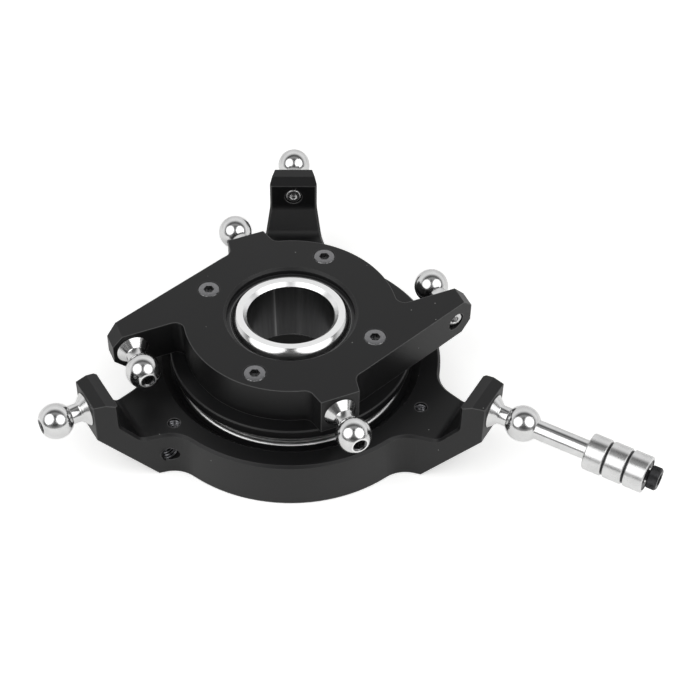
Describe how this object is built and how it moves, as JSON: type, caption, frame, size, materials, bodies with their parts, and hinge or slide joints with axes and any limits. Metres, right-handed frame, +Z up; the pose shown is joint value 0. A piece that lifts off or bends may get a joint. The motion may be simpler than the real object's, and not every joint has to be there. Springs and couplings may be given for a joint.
{
  "type": "helicopter swashplate",
  "caption": "Swashplate with a leaning centre ball, a turning upper plate on a main bearing, a still lower ring with cranked arms, linkage balls and a roller guide pin.",
  "frame": {"origin": "centre of the centre ball, which the plate tilts about", "axes": "+Z up along the mast when level, -Y towards the gap between the left and right arms of the lower ring, +X right"},
  "size_m": [0.0794, 0.0648, 0.0158],
  "materials": {
    "black_anodised": "satin black anodised",
    "polished_steel": "turned and polished",
    "bearing_steel": "ground",
    "cage_steel": "pressed",
    "screw_steel": "dull plated",
    "black_oxide": "black oxide",
    "acetal": "machined black acetal"
  },
  "bodies": {
    "lower_ring_body": {"lower_ring": "black_anodised", "main_bearing_outer_race": "bearing_steel", "main_bearing_shield_upper": "bearing_steel", "main_bearing_shield_lower": "bearing_steel", "ball_stud_ring_left": "polished_steel", "ball_stud_ring_back": "polished_steel", "guide_pin": "polished_steel", "guide_roller_inner_1": "bearing_steel", "guide_roller_inner_2": "bearing_steel", "guide_roller_inner_3": "bearing_steel", "guide_washer_1": "screw_steel", "guide_washer_2": "screw_steel", "guide_cap_screw": "black_oxide"},
    "upper_plate_body": {"upper_plate": "black_anodised", "hub": "black_anodised", "main_bearing_inner_race": "bearing_steel", "liner_upper": "acetal", "liner_lower": "acetal", "ball_stud_plate_long_front": "polished_steel", "ball_stud_plate_short_front": "polished_steel", "ball_stud_plate_long_back": "polished_steel", "ball_stud_plate_short_back": "polished_steel", "plate_screw_0": "screw_steel", "plate_screw_1": "screw_steel", "plate_screw_2": "screw_steel", "plate_screw_3": "screw_steel"},
    "centre_ball_body": {"uniball": "polished_steel"},
    "bearing_cage_body": {"main_bearing_balls": "bearing_steel", "main_bearing_cage": "cage_steel"},
    "guide_roller_1_body": {"guide_roller_1": "bearing_steel"},
    "guide_roller_2_body": {"guide_roller_2": "bearing_steel"},
    "guide_roller_3_body": {"guide_roller_3": "bearing_steel"}
  },
  "joints": [
    {"name": "plate_spin", "type": "hinge", "parent": "lower_ring_body", "child": "upper_plate_body", "pos_m": [0, 0, 0], "axis": [0, 0, 1], "continuous": true},
    {"name": "cage_spin", "type": "hinge", "parent": "lower_ring_body", "child": "bearing_cage_body", "pos_m": [0, 0, 0], "axis": [0, 0, 1], "continuous": true},
    {"name": "centre_ball_tilt", "type": "hinge", "parent": "upper_plate_body", "child": "centre_ball_body", "pos_m": [0, 0, 0], "axis": [1, 0, 0], "range_deg": [-8.2, 15.8]},
    {"name": "guide_roller_1_spin", "type": "hinge", "parent": "lower_ring_body", "child": "guide_roller_1_body", "pos_m": [0.03893, -0.02247, 0.0022], "axis": [0.866, -0.5, 0], "continuous": true},
    {"name": "guide_roller_2_spin", "type": "hinge", "parent": "lower_ring_body", "child": "guide_roller_2_body", "pos_m": [0.04131, -0.02385, 0.0022], "axis": [0.866, -0.5, 0], "continuous": true},
    {"name": "guide_roller_3_spin", "type": "hinge", "parent": "lower_ring_body", "child": "guide_roller_3_body", "pos_m": [0.04369, -0.02523, 0.0022], "axis": [0.866, -0.5, 0], "continuous": true}
  ],
  "couplings": [
    {"joint": "cage_spin", "follows": "plate_spin", "ratio": 0.43269}
  ]
}
